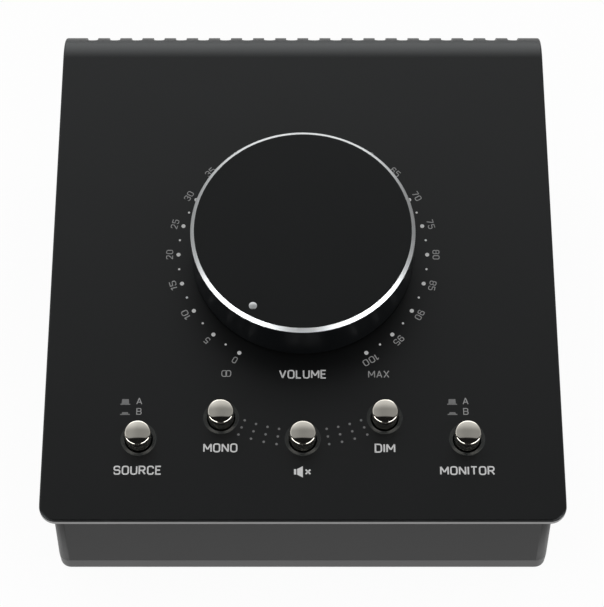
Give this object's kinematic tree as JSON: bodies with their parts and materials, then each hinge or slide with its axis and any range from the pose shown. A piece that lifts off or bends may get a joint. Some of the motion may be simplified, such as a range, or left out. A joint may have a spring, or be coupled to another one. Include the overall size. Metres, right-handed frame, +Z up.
{
  "type": "studio monitor controller",
  "caption": "Sloping desktop studio monitor controller with a large volume knob, latching push buttons, a vented rear hood and jack sockets on the back.",
  "frame": {"origin": "on the desk, under the middle of the body", "axes": "+Z up, -Y towards the user, +X to the right of the user"},
  "size_m": [0.1384, 0.1522, 0.0718],
  "materials": {
    "cover_black": "satin black powder coat",
    "body_black": "satin black powder coat",
    "rubber": "matt",
    "zinc": "bright zinc plate",
    "black_screw": "black oxide",
    "nickel": "nickel plate",
    "tinned": "tinned",
    "knob_black": "black anodised with a bright turned chamfer",
    "polished": "polished",
    "chrome": "polished chrome plate",
    "black_plastic": "moulded",
    "white_plastic": "moulded",
    "spring_steel": "drawn wire",
    "board_green": "solder mask",
    "resistor_blue": "lacquered",
    "ribbon_grey": "flexible"
  },
  "bodies": {
    "housing": {"board_posts": "zinc", "board_screws": "zinc", "bottom_pan": "body_black", "bottom_screws": "zinc", "control_board": "board_green", "cover_nuts": "zinc", "cover_studs": "zinc", "dim_spring": "spring_steel", "dim_switch": "black_plastic", "input_jacks": "black_plastic", "jack_board": "board_green", "jack_board_posts": "zinc", "jack_board_screws": "zinc", "jack_nuts": "nickel", "jack_washers": "nickel", "lower_header": "black_plastic", "mini_jack": "black_plastic", "mini_jack_nut": "nickel", "monitor_spring": "spring_steel", "monitor_switch": "black_plastic", "mono_spring": "spring_steel", "mono_switch": "black_plastic", "mute_spring": "spring_steel", "mute_switch": "black_plastic", "output_jacks": "black_plastic", "pot_body": "zinc", "pot_bushing": "nickel", "pot_nut": "nickel", "pot_pins": "tinned", "pot_washer": "nickel", "rear_plate": "body_black", "rear_screws": "black_screw", "resistors": "resistor_blue", "ribbon_cable": "ribbon_grey", "rubber_feet": "rubber", "side_frame": "body_black", "source_spring": "spring_steel", "source_switch": "black_plastic", "switch_pins": "tinned", "top_cover": "cover_black", "upper_header": "black_plastic"},
    "volume_knob": {"knob_shell": "knob_black", "knob_hub": "black_plastic", "knob_marker": "polished", "pot_shaft": "nickel"},
    "source_button": {"source_cap": "chrome", "source_plunger": "white_plastic"},
    "mono_button": {"mono_cap": "chrome", "mono_plunger": "white_plastic"},
    "mute_button": {"mute_cap": "chrome", "mute_plunger": "white_plastic"},
    "dim_button": {"dim_cap": "chrome", "dim_plunger": "white_plastic"},
    "monitor_button": {"monitor_cap": "chrome", "monitor_plunger": "white_plastic"}
  },
  "joints": [
    {"name": "volume_turn", "type": "hinge", "parent": "housing", "child": "volume_knob", "pos_m": [0, -0.0006, 0.04985], "axis": [0, -0.2385, 0.9711], "range_deg": [-300, 0]},
    {"name": "source_press", "type": "slide", "parent": "housing", "child": "source_button", "axis": [0, 0.2385, -0.9711], "range_m": [0, 0.0022], "stiffness_N_per_m": 150, "springref_m": -0.004, "deforming": ["source_spring"]},
    {"name": "mono_press", "type": "slide", "parent": "housing", "child": "mono_button", "axis": [0, 0.2385, -0.9711], "range_m": [0, 0.0022], "stiffness_N_per_m": 150, "springref_m": -0.004, "deforming": ["mono_spring"]},
    {"name": "mute_press", "type": "slide", "parent": "housing", "child": "mute_button", "axis": [0, 0.2385, -0.9711], "range_m": [0, 0.0022], "stiffness_N_per_m": 150, "springref_m": -0.004, "deforming": ["mute_spring"]},
    {"name": "dim_press", "type": "slide", "parent": "housing", "child": "dim_button", "axis": [0, 0.2385, -0.9711], "range_m": [0, 0.0022], "stiffness_N_per_m": 150, "springref_m": -0.004, "deforming": ["dim_spring"]},
    {"name": "monitor_press", "type": "slide", "parent": "housing", "child": "monitor_button", "axis": [0, 0.2385, -0.9711], "range_m": [0, 0.0022], "stiffness_N_per_m": 150, "springref_m": -0.004, "deforming": ["monitor_spring"]}
  ]
}
